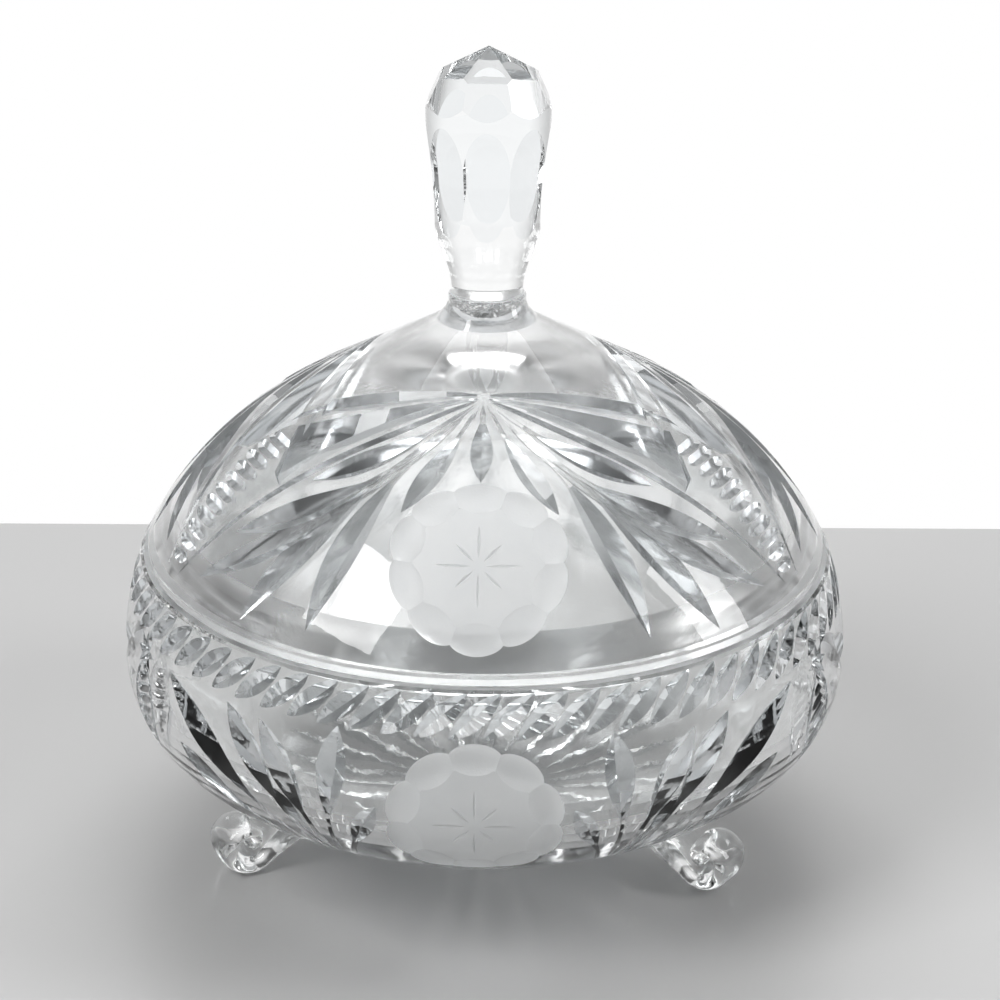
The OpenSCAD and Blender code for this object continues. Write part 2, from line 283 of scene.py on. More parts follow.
# %% [markdown]
# A point on the glass is given by its angle from the front and a second number: its height on the bowl's
# side, or its distance from the axis on the underside and on the lid. Each of these functions also gives
# the direction that points straight out of the glass there, from which a cutter's wheel comes. Rays cast at
# the mesh would find both as well. The arcs give them exactly, also where an earlier cut has taken the
# glass away.

# %% Points on the glass
def around(angle, r, z, lean_r, lean_z):
    a = np.radians(angle)
    point = np.stack([r * np.sin(a), -r * np.cos(a), z + 0 * a], -1)
    out = np.stack([lean_r * np.sin(a), -lean_r * np.cos(a), lean_z + 0 * a], -1)
    return point, out


def on_bowl(angle, z):
    angle, z = np.broadcast_arrays(np.asarray(angle, float), np.asarray(z, float))
    low_turn = BASE_C + BASE_TURN * math.sin(BASE_LEAN)
    centre_r = np.where(z > BELLY_Z, MOUTH_C, np.where(z > low_turn, BELLY_C, 0.0))
    centre_z = np.where(z > low_turn, BELLY_Z, BASE_C)
    turn = np.where(z > BELLY_Z, MOUTH_TURN, np.where(z > low_turn, BELLY_TURN, BASE_TURN))
    lean_z = (z - centre_z) / turn
    lean_r = np.sqrt(np.maximum(0, 1 - lean_z**2))
    return around(angle, centre_r + turn * lean_r, z, lean_r, lean_z)


def on_underside(angle, r):
    angle, r = np.broadcast_arrays(np.asarray(angle, float), np.asarray(r, float))
    lean_r = r / BASE_TURN
    lean_z = -np.sqrt(1 - lean_r**2)
    return around(angle, r, BASE_C + BASE_TURN * lean_z, lean_r, lean_z)


def on_lid(angle, r):
    angle, r = np.broadcast_arrays(np.asarray(angle, float), np.asarray(r, float))
    lean_r = np.where(r < CONE_R, math.sin(TOP_SLOPE), r / DOME_TURN)
    lean_z = np.sqrt(1 - lean_r**2)
    z = np.where(r < CONE_R, cone_z(r), DOME_Z + DOME_TURN * lean_z)
    return around(angle, r, z, lean_r, lean_z)


print("belly and edge of the cone:", on_bowl(0, BELLY_Z)[0].round(2), on_lid(0, CONE_R)[0].round(2))

# %% [markdown]
# A blank is a profile turned about the upright axis. The profile runs from the axis along the outside and
# back along the inside, so the mesh is closed. The Screw modifier could turn it. Rings of points are used
# instead, because each ring of faces then gets a finish of its own. Fine steps matter here: glass shows
# every facet of a coarse mesh. Points are in millimetres until they are stored.

# %% Turning a blank
FINE_STEP, COARSE_STEP = 1.2, 2.0
BLANK_STEPS, KNOB_STEPS = 384, 192
ON_AXIS, SAME_PLACE = 1e-6, 0.02


def arc(centre_r, centre_z, turn, start, end, step=FINE_STEP):
    count = max(3, int(abs(end - start) * turn / step))
    a = np.linspace(start, end, count)
    return [(centre_r + turn * math.cos(t), centre_z + turn * math.sin(t)) for t in a]


def store(name, points, faces, finishes=None):
    mesh = bpy.data.meshes.new(name)
    mesh.from_pydata((np.asarray(points) * MM).tolist(), [], faces)
    if finishes is not None:
        mesh.polygons.foreach_set("material_index", finishes)
    mesh.update()
    piece = bpy.data.objects.new(name, mesh)
    bpy.context.scene.collection.objects.link(piece)
    return piece


def turned_mesh(profile, steps=BLANK_STEPS):
    """Points and faces of a turned profile, and the place in the profile where each face starts."""
    rings = [p for p in profile if p[0] > ON_AXIS]
    a = np.linspace(0, 2 * math.pi, steps, endpoint=False)
    points = np.concatenate([np.stack([r * np.cos(a), r * np.sin(a), z + 0 * a], -1) for r, z in rings])
    points = np.concatenate([points, [[0, 0, profile[0][1]], [0, 0, profile[-1][1]]]])
    first, last = len(points) - 2, len(points) - 1
    faces, starts = [], []
    for i in range(-1, len(rings)):
        low, high = i * steps, (i + 1) * steps
        for j in range(steps):
            k = (j + 1) % steps
            if i < 0:
                faces.append((first, high + k, high + j))
            elif i == len(rings) - 1:
                faces.append((low + j, low + k, last))
            else:
                faces.append((low + j, low + k, high + k, high + j))
            starts.append(rings[max(i, 0)])
    return points, faces, starts


def without_repeats(profile):
    kept = [profile[0]]
    for p in profile[1:]:
        if math.dist(p, kept[-1]) > SAME_PLACE:
            kept.append(p)
    return kept


def dress(piece):
    """Gives a piece all the finishes. Each face says by number which one it has."""
    for material in FINISHES:
        piece.data.materials.append(material)


def turned(name, profile, finish_of, steps=BLANK_STEPS):
    points, faces, starts = turned_mesh(without_repeats(profile), steps)
    piece = store(name, points, faces, [finish_of(p) for p in starts])
    dress(piece)
    return piece


print("lathe ready,", BLANK_STEPS, "steps round a blank")

# %% [markdown]
# The bowl's wall has the same thickness all over, so the inside is the same three arcs with smaller radii.
# Its rim was ground flat on a plate and the two edges were eased with a stone. The Solidify modifier could
# make the wall, but it would not make that rim.

# %% Bowl blank
RIM_EASE = 0.5
BOWL_TOP = math.asin((RIM_Z - RIM_EASE - BELLY_Z) / MOUTH_TURN)
BOWL_TOP_IN = math.asin((RIM_Z - RIM_EASE - BELLY_Z) / (MOUTH_TURN - BOWL_WALL))
bowl_outside = (
    arc(0, BASE_C, BASE_TURN, -math.pi / 2, BASE_LEAN)
    + arc(BELLY_C, BELLY_Z, BELLY_TURN, BASE_LEAN, 0)
    + arc(MOUTH_C, BELLY_Z, MOUTH_TURN, 0, BOWL_TOP)
)
bowl_inside = (
    arc(MOUTH_C, BELLY_Z, MOUTH_TURN - BOWL_WALL, BOWL_TOP_IN, 0, COARSE_STEP)
    + arc(BELLY_C, BELLY_Z, BELLY_TURN - BOWL_WALL, 0, BASE_LEAN, COARSE_STEP)
    + arc(0, BASE_C, BASE_TURN - BOWL_WALL, BASE_LEAN, -math.pi / 2, COARSE_STEP)
)
bowl_rim = [(RIM_R - RIM_EASE, RIM_Z), (MOUTH_R + RIM_EASE, RIM_Z)]


def bowl_finish(p):
    if p == bowl_rim[0]:
        return GROUND
    return MOULDED if p in bowl_inside else POLISHED


bowl = turned("cut_bowl", bowl_outside + bowl_rim + bowl_inside, bowl_finish)
print("bowl blank:", len(bowl.data.polygons), "faces")

# %% [markdown]
# The lid's blank is turned in the same way. Its lip drops inside the bowl's mouth, its seat is ground to
# lie on the rim, and the collar on top is where the knob is bonded. Its outside runs up as a cone, while
# its inside stays a plain dome. The glass is therefore thick under the collar, which gives the clear cap
# there.

# %% Lid blank
LID_EASE, CROWN_GAP = 0.4, 0.012
FLARE_BEND_R, FLARE_BEND_H, FLARE_EDGE_H = 0.7, 1.1, 0.03
CONE_RINGS, CONE_START, EDGE_DROP = 24, 1.0, 1.2
FLARE_R, BEND_R = COLLAR_R + COLLAR_FLARE, COLLAR_R + FLARE_BEND_R
LIP_Z, LIP_IN = SEAT_Z - LIP_DEPTH, LIP_R - LIP_WALL
cone_end = math.pi / 2 - TOP_SLOPE
edge_lean = math.atan2(LID_EDGE_Z - DOME_Z, LID_R)
inner_edge = math.acos(LIP_IN / (DOME_TURN - LID_WALL))
collar = [
    (0, COLLAR_Z), (COLLAR_R - LID_EASE, COLLAR_Z), (COLLAR_R, COLLAR_Z - LID_EASE),
    (COLLAR_R, cone_z(COLLAR_R) + COLLAR_FLARE), (BEND_R, cone_z(BEND_R) + FLARE_BEND_H),
    (FLARE_R, cone_z(FLARE_R) + FLARE_EDGE_H),
]
lid_outside = (
    [(r, cone_z(r)) for r in np.linspace(FLARE_R + CONE_START, CONE_R, CONE_RINGS)]
    + arc(0, DOME_Z, DOME_TURN, cone_end, edge_lean)
)
lid_seat = [
    (LID_R, LID_EDGE_Z - EDGE_DROP), (LID_R, SEAT_Z + LID_EASE), (LID_R - LID_EASE, SEAT_Z),
    (LIP_R, SEAT_Z), (LIP_R, LIP_Z + LID_EASE), (LIP_R - LID_EASE, LIP_Z),
    (LIP_IN + LID_EASE, LIP_Z), (LIP_IN, LIP_Z + LID_EASE),
]
lid_inside = (
    arc(0, DOME_Z, DOME_TURN - LID_WALL, inner_edge, math.pi / 2 - CROWN_GAP, COARSE_STEP)
    + [(0, DOME_Z + DOME_TURN - LID_WALL)]
)


def lid_finish(p):
    if p == (LIP_R, SEAT_Z) or p[1] == COLLAR_Z:
        return GROUND
    if p[0] == COLLAR_R:
        return BONDED
    return BLOWN if p in lid_inside else POLISHED


lid = turned("cut_lid", (collar + lid_outside + lid_seat + lid_inside)[::-1], lid_finish)
print("lid blank:", len(lid.data.polygons), "faces")

# %% [markdown]
# A mitre wheel has a V-shaped rim, so each leaf is a V-shaped groove that starts at nothing, deepens and
# runs out to a point. A bump could fake it, but only a true groove bends what is seen through it. The
# groove's width follows from its depth. Its tool is a three-cornered tube: one corner runs along the bed of
# the groove, the other two stay just outside the glass. A flat wheel leaves a wide, shallow cut instead,
# and its tool is a four-cornered tube between two edges on the glass.

# %% Tools of the wheels
LIFT, BROAD_LIFT, BROAD_PAST = 0.7, 2.0, 0.2


def tube(rings):
    """A closed tube whose rings are rows of the same number of points."""
    n, m = rings.shape[:2]
    faces = [(m * i + a, m * i + (a + 1) % m, m * i + m + (a + 1) % m, m * i + m + a)
             for i in range(n - 1) for a in range(m)]
    faces += [tuple(range(m))[::-1], tuple(range(m * n - m, m * n))]
    return rings.reshape(-1, 3), faces


def groove(points, outs, depth, opening):
    """A V-shaped tool with its bed depth under the glass. Each side opens by opening times depth."""
    along = np.gradient(points, axis=0)
    across = np.cross(outs, along)
    across /= np.linalg.norm(across, axis=1)[:, None]
    depth = np.asarray(depth)[:, None]
    spread = (depth + LIFT) * opening
    over = points + outs * LIFT
    return tube(np.stack([points - outs * depth, over + across * spread, over - across * spread], 1))


def broad_cut(first, bed, second, depth):
    """A wide tool between two edges, with its bed depth under the glass. All three are (points, outs)."""
    low = bed[0] - bed[1] * np.asarray(depth)[:, None]
    over = bed[0] + bed[1] * BROAD_LIFT
    left = first[0] + (first[0] - low) * BROAD_PAST
    right = second[0] + (second[0] - low) * BROAD_PAST
    return tube(np.stack([low, left, over, right], 1))


print("wheel tools reach", LIFT, "mm out of the glass")

# %% [markdown]
# A Boolean takes the tools away, and the faces that it leaves get the tool's finish. The Manifold solver is
# chosen because it is quick with hundreds of tools. It needs tools that do not touch each other. So
# neighbours are cut in turns, the even ones first and then the odd ones.

# %% Taking glass away
# By default, the faces that a tool leaves get the cut finish, with its grey tint of painted shade.
def carve(piece, tools, finish=CUT_WITH_PAINTED_SHADE):
    """Takes the tools away from a piece. They may not touch each other."""
    points, faces, start = [], [], 0
    for tool_points, tool_faces in tools:
        points.append(tool_points)
        faces += [tuple(start + i for i in face) for face in tool_faces]
        start += len(tool_points)
    cutter = store("cutter", np.concatenate(points), faces, [finish] * len(faces))
    dress(cutter)
    shape = bmesh.new()
    shape.from_mesh(cutter.data)
    bmesh.ops.recalc_face_normals(shape, faces=shape.faces)
    shape.to_mesh(cutter.data)
    shape.free()
    cut = piece.modifiers.new("cut", "BOOLEAN")
    cut.operation = "DIFFERENCE"
    cut.object = cutter
    cut.solver = "MANIFOLD"
    bpy.context.view_layer.update()
    after = bpy.data.meshes.new_from_object(piece.evaluated_get(bpy.context.evaluated_depsgraph_get()))
    before = piece.data
    piece.modifiers.clear()
    piece.data = after
    bpy.data.meshes.remove(before)
    bpy.data.meshes.remove(cutter.data)


def in_turns(count):
    return range(0, count, 2), range(1, count, 2)


print("turns of five neighbours:", [list(turn) for turn in in_turns(5)])

# %% [markdown]
# A leaf has a thin stem and a broad blade, cut by the same wheel. The stem is barely ground in and stays as
# clear as the glass round it. The blade goes deep, and has the finish of a cut, with its grey tint of painted
# shade. The path of a leaf could be a curve object. Here it is the parabola through three places on a
# drawing, which are easy to measure and to change.

# %% Leaves
LEAF_END, LEAF_STEPS = 0.06, 80
STEM_DEPTH, STEM_RISE, STEM_OVERLAP = 0.5, 0.15, 0.3
BLADE_LATE, BLADE_FULL = 1.3, 0.9


def blade_depth(u, depth):
    """Depth along a leaf's blade, which is deepest past its middle."""
    return depth * np.sin(math.pi * u**BLADE_LATE) ** BLADE_FULL - LEAF_END


def cut_leaves(piece, routes, depth, opening, stem):
    """Cuts stems up to the share stem of each route and blades over the rest. A route is (points, outs)."""
    share = np.linspace(0, 1, len(routes[0][0]))
    thin = share < stem + STEM_OVERLAP * (1 - stem)
    broad = share >= stem
    shallow = STEM_DEPTH * np.clip(share[thin] / STEM_RISE, 0, 1) - LEAF_END
    deep = blade_depth((share[broad] - stem) / (1 - stem), depth)
    carve(piece, [groove(points[thin], outs[thin], shallow, opening) for points, outs in routes], POLISHED)
    carve(piece, [groove(points[broad], outs[broad], deep, opening) for points, outs in routes])


def smooth_path(corners, count):
    """A curve through three places on a drawing, or a line through two, and how far along each point is."""
    corners = np.asarray(corners, float)
    t = np.linspace(0, 1, count)
    if len(corners) == 2:
        return corners[0] + t[:, None] * (corners[1] - corners[0]), t
    a, b, c = corners
    m = np.linalg.norm(b - a) / (np.linalg.norm(b - a) + np.linalg.norm(c - b))
    path = (a * ((t - m) * (t - 1) / m)[:, None] + b * (t * (t - 1) / (m * (m - 1)))[:, None]
            + c * (t * (t - m) / (1 - m))[:, None])
    return path, t


print("a leaf has", LEAF_STEPS, "steps, and its stem is", STEM_DEPTH - LEAF_END, "mm deep")

# %% [markdown]
# The pattern has three panels. The front one is a little wider than the other two, as they were marked out
# by eye. Each panel of the lid holds a fan. Its stems start at one place near the collar, run side by side
# and swell into leaves. On the drawing a leaf is given by three places in plan, as (sideways, forwards) in
# millimetres: where the stem starts, where it has bent, and the tip. Then come its depth, how far it opens
# and the share that is stem. Every leaf is cut once on each side of its panel.

# %% Leaf fans of the lid
FRONT_PANEL = 128.0
SIDE_PANEL = (360 - FRONT_PANEL) / 2
SIDE_AT = 180 - SIDE_PANEL / 2
PANELS = ((0.0, 1.0), (SIDE_AT, SIDE_PANEL / FRONT_PANEL), (-SIDE_AT, SIDE_PANEL / FRONT_PANEL))
SIDES = (1, -1)
LID_LEAVES = {
    "short leaf": (((0.5, 28.8), (9.0, 43.5), (16.5, 52.4)), 1.75, 1.55, 0.25),
    "upper leaf": (((0.9, 28.5), (20.4, 38.6), (36.2, 38.8)), 2.0, 1.55, 0.25),
    "middle leaf": (((1.1, 28.6), (24.0, 44.6), (52.6, 39.6)), 2.1, 1.7, 0.42),
    "side leaf": (((1.2, 28.7), (30.0, 48.4), (60.6, 41.4)), 2.0, 1.65, 0.45),
    "lower leaf": (((1.0, 28.9), (25.0, 46.8), (50.5, 56.2)), 2.1, 1.7, 0.45),
    "front leaf": (((0.8, 29.0), (18.5, 45.8), (35.6, 65.2)), 2.1, 1.7, 0.42),
}
CENTRE_LEAF = (((0.0, 28.6), (0.0, 47.8)), 1.8, 1.4, 0.15)
LINE_STEPS = 48


def lid_route(corners, panel, side, count):
    path, t = smooth_path(corners, count)
    centre, spread = panel
    angle = centre + side * spread * np.degrees(np.arctan2(path[:, 0], path[:, 1]))
    return on_lid(angle, np.hypot(path[:, 0], path[:, 1])), t


for corners, depth, opening, stem in LID_LEAVES.values():
    for side in SIDES:
        routes = [lid_route(corners, panel, side, LEAF_STEPS)[0] for panel in PANELS]
        cut_leaves(lid, routes, depth, opening, stem)
print("lid after its leaves:", len(lid.data.polygons), "faces")

# %% [markdown]
# Above the leaves, two broad bands bound the clear cap of the lid, and a long thin line runs beside them to
# the edge of the panel. A shorter line crosses it. A groove as wide as a band would be far too deep, so a
# band is made with the broad tool. It is given by its two edges and the bed between them. The middle leaf
# of the panel comes last, because it crosses the start of the others.

# %% Lines and bands of the lid
LINE_END, LINE_EVEN, LINE_EARLY, LINE_OPEN = 0.05, 0.4, 0.8, 1.3
BAND_START, BAND_SWEEP = 0.1, 2.3
LID_LINES = {
    "long line": (((1.2, 28.3), (36.0, 36.6), (66.0, 35.6)), 0.75),
    "cross line": (((30.0, 19.9), (44.0, 15.6), (53.5, 13.6)), 0.6),
}
LID_BANDS = {
    "top leaf": (((1.2, 27.6), (22.0, 26.2), (40.2, 20.6)), ((1.2, 27.9), (24.0, 28.8), (44.5, 31.6)),
                 ((1.2, 28.2), (24.0, 33.0), (43.2, 36.0)), 1.7),
    "top line": (((1.4, 26.6), (18.4, 22.4), (34.0, 15.8)), ((1.4, 27.0), (18.7, 24.2), (34.8, 18.2)),
                 ((1.4, 27.4), (19.0, 25.9), (35.2, 20.8)), 0.9),
}


def line_depth(t, depth, early=1.0):
    """Depth along a thin line, which is nearly even."""
    return depth * np.sin(math.pi * t**early) ** LINE_EVEN - LINE_END


for corners, depth in LID_LINES.values():
    for side in SIDES:
        tools = []
        for panel in PANELS:
            (points, outs), t = lid_route(corners, panel, side, LINE_STEPS)
            tools.append(groove(points, outs, line_depth(t, depth, LINE_EARLY), LINE_OPEN))
        carve(lid, tools)
for first, bed, second, depth in LID_BANDS.values():
    for side in SIDES:
        tools = []
        for panel in PANELS:
            edges = [lid_route(corners, panel, side, LINE_STEPS) for corners in (first, bed, second)]
            deep = depth * (BAND_START + (1 - BAND_START) * np.sin(BAND_SWEEP * edges[0][1]))
            tools.append(broad_cut(edges[0][0], edges[1][0], edges[2][0], deep))
        carve(lid, tools)
centre_routes = [lid_route(CENTRE_LEAF[0], panel, 1, LINE_STEPS)[0] for panel in PANELS]
cut_leaves(lid, centre_routes, *CENTRE_LEAF[1:])
print("lid after its lines and bands:", len(lid.data.polygons), "faces")

# %% [markdown]
# Between two panels a slender strip runs down the dome. Short cuts go straight across it like the rungs of
# a ladder, longer at the top, where the strip is wide. An Array modifier could repeat one rung, but their
# lengths differ. The panel's long line is the strip's edge, so that line sets the length.

# %% Ladder strips of the lid
STRIPS = (FRONT_PANEL / 2, -FRONT_PANEL / 2, 180.0)
RUNGS, LADDER_FROM, LADDER_STEP = 11, 34.2, 2.15
RUNG_LONGEST, RUNG_LEAST, RUNG_SHARE, RUNG_CLEAR = 6.2, 0.8, 0.92, 0.8
RUNG_DEPTH, RUNG_OPEN, RUNG_FLAT, RUNG_STEPS = 0.95, 1.65, 4, 16
line_path, _ = smooth_path(LID_LINES["long line"][0], LEAF_STEPS)
line_r = np.hypot(line_path[:, 0], line_path[:, 1])
line_angle = np.degrees(np.arctan2(line_path[:, 0], line_path[:, 1]))


def rung(points_at, half, depth, opening):
    """A short groove with an even bed, to half its length on each side of its middle."""
    u = np.linspace(-half, half, RUNG_STEPS)
    points, outs = points_at(u)
    return groove(points, outs, depth * (1 - np.abs(u / half) ** RUNG_FLAT) - LINE_END, opening)


for turn in in_turns(RUNGS):
    tools = []
    for strip in STRIPS:
        for k in turn:
            r = DOME_TURN * math.sin(math.radians(LADDER_FROM + LADDER_STEP * k))
            room = math.radians(STRIPS[0] - np.interp(r, line_r, line_angle)) * r
            half = min(RUNG_LONGEST, room * RUNG_SHARE - RUNG_CLEAR)
            if half > RUNG_LEAST:
                tools.append(rung(lambda u: on_lid(strip + np.degrees(u / r), r), half,
                                  RUNG_DEPTH, RUNG_OPEN))
    carve(lid, tools)
print("lid after its ladders:", len(lid.data.polygons), "faces")

# %% [markdown]
# In the middle of each panel is a satin roundel: a shallow disc inside a wreath of ten oval hollows. A
# small star of leaf cuts is ground in the disc. A change of finish alone would look printed on, so all of
# these are real hollows. `hollow` spreads a round tool over the curved glass, and makes the disc and the
# ovals on both pieces. A spot turns millimetres from the middle of a roundel into a point on the glass.

# %% Tools of the roundels
LID_ROUNDEL_R, BOWL_ROUNDEL_Z = 62.7, 42.0
WHEEL_H, WHEEL_GAP, WHEEL_RINGS = 2.2, 0.04, 22


def lid_spot(angle):
    middle = math.asin(LID_ROUNDEL_R / DOME_TURN)

    def at(u, v):
        r = DOME_TURN * np.sin(middle - np.asarray(v) / DOME_TURN)
        return on_lid(angle + np.degrees(u / r), r)
    return at


def bowl_spot(angle, z=BOWL_ROUNDEL_Z):
    start_turn = MOUTH_TURN if z > BELLY_Z else BELLY_TURN
    start = start_turn * math.asin((z - BELLY_Z) / start_turn)

    def at(u, v):
        s = start + np.asarray(v)
        turn = np.where(s > 0, MOUTH_TURN, BELLY_TURN)
        return on_bowl(angle + np.degrees(np.asarray(u) / DISH_R), BELLY_Z + turn * np.sin(s / turn))
    return at


def hollow(at, middle, profile, long=1.0, turn=0.0, steps=40):
    """A round tool. Its profile is (distance from its middle, height over the glass), from the bottom up."""
    a = np.linspace(0, 2 * math.pi, steps, endpoint=False)
    rings = []
    for r, lift in profile:
        p, q = r * long * np.cos(a), r * np.sin(a)
        u = middle[0] + p * math.cos(turn) - q * math.sin(turn)
        v = middle[1] + p * math.sin(turn) + q * math.cos(turn)
        points, outs = at(u, v)
        rings.append(points + outs * lift)
    return tube(np.stack(rings))


def rounded(half_wide, depth):
    """Profile of a rounded wheel's hollow that is half_wide from its middle to its edge."""
    rise = WHEEL_H - depth
    reach = half_wide / math.sqrt(1 - (rise / WHEEL_H) ** 2)
    a = np.linspace(WHEEL_GAP, math.pi - WHEEL_GAP, WHEEL_RINGS)
    return [(reach * math.sin(t), rise - WHEEL_H * math.cos(t)) for t in a]


print("middle of the front roundel:", lid_spot(0.0)(0.0, 0.0)[0].round(2))

# %% [markdown]
# The disc is ground first, then the wreath round it and the star in it. The disc's tool stands well over
# the glass in its middle, because the bowl's belly bulges there. A tool with a flat top would leave a flake
# of glass. The ovals overlap their neighbours, so they are cut in turns.

# %% Roundels of the lid
DISC_R, DISC_DEPTH, DISC_LIFT, DISC_TOP = 13.8, 0.3, 0.8, 2.4
DISC_MIDDLE, DISC_FROM, DISC_RINGS, DISC_STEPS = 0.2, 1.5, 8, 72
DISC = (
    [(DISC_MIDDLE, -DISC_DEPTH)]
    + [(r, -DISC_DEPTH) for r in np.linspace(DISC_FROM, DISC_R, DISC_RINGS)]
    + [(DISC_R, DISC_LIFT), (DISC_MIDDLE, DISC_TOP)]
)
OVALS, WREATH_R = 10, 15.4
OVAL_HALF, OVAL_DEPTH, OVAL_LONG = 3.7, 1.1, 1.6
RAYS, RAY_START, RAY_LONG, RAY_SHORT = 8, 1.2, 9.6, 7.2
RAY_DEPTH, RAY_OPEN, RAY_STEPS = 0.45, 1.0, 20


def grind_roundel(piece, spots):
    carve(piece, [hollow(at, (0, 0), DISC, steps=DISC_STEPS) for at in spots], SATIN)
    for turn in in_turns(OVALS):
        tools = []
        for at in spots:
            for k in turn:
                a = 2 * math.pi * (k + 0.5) / OVALS
                middle = (WREATH_R * math.cos(a), WREATH_R * math.sin(a))
                tools.append(hollow(at, middle, rounded(OVAL_HALF, OVAL_DEPTH), OVAL_LONG, a + math.pi / 2))
        carve(piece, tools, SATIN)
    for turn in in_turns(RAYS):
        tools = []
        for at in spots:
            for k in turn:
                a = 2 * math.pi * k / RAYS
                r = np.linspace(RAY_START, RAY_LONG if k % 2 == 0 else RAY_SHORT, RAY_STEPS)
                points, outs = at(r * math.cos(a), r * math.sin(a))
                deep = DISC_DEPTH + RAY_DEPTH * np.sin(math.pi * np.linspace(0, 1, RAY_STEPS)) - LEAF_END
                tools.append(groove(points, outs, deep, RAY_OPEN))
        carve(piece, tools, SATIN)


grind_roundel(lid, [lid_spot(centre) for centre, spread in PANELS])
print("lid after its roundels:", len(lid.data.polygons), "faces")

# %% [markdown]
# The bowl's fans stand on the belly. Their stems spring from one place low on the side and spread upwards.
# The same wheel cut them, so the same tools do. Here a place is (angle from the middle of the panel,
# height), because the wall is too steep to be drawn in plan. Under the rim runs a band of slanted flutes,
# which is one groove repeated.

# %% Leaf fans and flutes of the bowl
BOWL_LEAVES = {
    "upright leaf": (((22.4, 25.5), (21.8, 43.0), (20.4, 62.0)), 2.4, 1.45, 0.36),
    "second leaf": (((23.4, 25.5), (26.6, 41.0), (33.8, 59.2)), 2.4, 1.45, 0.34),
    "third leaf": (((24.4, 25.5), (30.0, 40.0), (40.2, 60.2)), 2.4, 1.45, 0.40),
    "great leaf": (((25.6, 25.5), (36.5, 40.5), (55.0, 59.6)), 2.5, 1.5, 0.32),
    "low leaf": (((27.0, 25.0), (37.5, 34.0), (51.2, 45.0)), 2.2, 1.5, 0.38),
    "inner leaf": (((21.0, 25.5), (18.6, 34.0), (14.4, 45.4)), 1.7, 1.5, 0.35),
    "bud": (((24.0, 29.0), (26.8, 36.0), (31.2, 44.4)), 1.4, 1.5, 0.40),
}
for corners, depth, opening, stem in BOWL_LEAVES.values():
    for side in SIDES:
        path, _ = smooth_path(corners, LEAF_STEPS)
        routes = [on_bowl(centre + side * spread * path[:, 0], path[:, 1]) for centre, spread in PANELS]
        cut_leaves(bowl, routes, depth, opening, stem)
FLUTES, FLUTE_LEAN, FLUTE_FOOT, FLUTE_TALL = 72, 7.8, 61.6, 9.2
FLUTE_DEPTH, FLUTE_FULL, FLUTE_OPEN, FLUTE_STEPS = 1.5, 0.7, 1.65, 28
t = np.linspace(0, 1, FLUTE_STEPS)
flute_depth = FLUTE_DEPTH * np.sin(math.pi * t) ** FLUTE_FULL - LINE_END
for turn in in_turns(FLUTES):
    tools = []
    for k in turn:
        points, outs = on_bowl(360 / FLUTES * k + FLUTE_LEAN * (t - 0.5), FLUTE_FOOT + FLUTE_TALL * t)
        tools.append(groove(points, outs, flute_depth, FLUTE_OPEN))
    carve(bowl, tools)
print("bowl after its flutes:", len(bowl.data.polygons), "faces")

# %% [markdown]
# The bowl has ladder strips too, each between two thin lines that bulge apart, with a star at its head. The
# rungs slant a little. The lines are cut after them and trim their ends. A roundel sits in each panel.

# %% Ladders, stars and roundels of the bowl
STRIP_FOOT, STRIP_HEAD, STRIP_HALF, STRIP_STEPS = 30.0, 57.0, 5.4, 40
STRIP_LATE, STRIP_FULL, STRIP_CLEAR, STRIP_LINE = 1.3, 0.8, 0.5, 0.7
BOWL_RUNGS, BOWL_LADDER_Z, BOWL_LADDER_FROM, BOWL_LADDER_STEP = 9, 45.0, -11.0, 2.7
BOWL_RUNG_DEPTH, BOWL_RUNG_OPEN, BOWL_RUNG_SLANT = 0.9, 1.45, 0.35
strip_t = np.linspace(0, 1, STRIP_STEPS)
strip_z = np.linspace(STRIP_FOOT, STRIP_HEAD, STRIP_STEPS)
strip_half = STRIP_HALF * np.sin(math.pi * strip_t**STRIP_LATE) ** STRIP_FULL
for turn in in_turns(BOWL_RUNGS):
    tools = []
    for strip in STRIPS:
        at = bowl_spot(strip, BOWL_LADDER_Z)
        for k in turn:
            v = BOWL_LADDER_FROM + BOWL_LADDER_STEP * k
            half = np.interp(at(0.0, v)[0][2], strip_z, strip_half) - STRIP_CLEAR
            if half > RUNG_LEAST:
                tools.append(rung(lambda u: at(u, v + BOWL_RUNG_SLANT * u), half,
                                  BOWL_RUNG_DEPTH, BOWL_RUNG_OPEN))
    carve(bowl, tools)
for side in SIDES:
    tools = []
    for strip in STRIPS:
        points, outs = on_bowl(strip + side * np.degrees(strip_half / DISH_R), strip_z)
        tools.append(groove(points, outs, line_depth(strip_t, STRIP_LINE), LINE_OPEN))
    carve(bowl, tools)
STAR_Z, STAR_STROKES, STAR_HALF, STAR_STEPS = 58.6, 4, 5.2, 24
STAR_DEPTH, STAR_OPEN, STAR_END = 1.5, 1.2, 0.04
t = np.linspace(-STAR_HALF, STAR_HALF, STAR_STEPS)
star_depth = STAR_DEPTH * (1 - np.abs(t / STAR_HALF)) - STAR_END
for k in range(STAR_STROKES):
    a = math.pi * k / STAR_STROKES
    tools = []
    for strip in STRIPS:
        points, outs = bowl_spot(strip, STAR_Z)(t * math.cos(a), t * math.sin(a))
        tools.append(groove(points, outs, star_depth, STAR_OPEN))
    carve(bowl, tools)
grind_roundel(bowl, [bowl_spot(centre) for centre, spread in PANELS])
print("bowl after its roundels:", len(bowl.data.polygons), "faces")

# %% [markdown]
# A large star of leaves is cut in the underside. It faces the floor, but it is needed: it shows through the
# glass as rays that rise behind the roundel. Its leaves spring from a ring, since so many have no room in
# the middle.

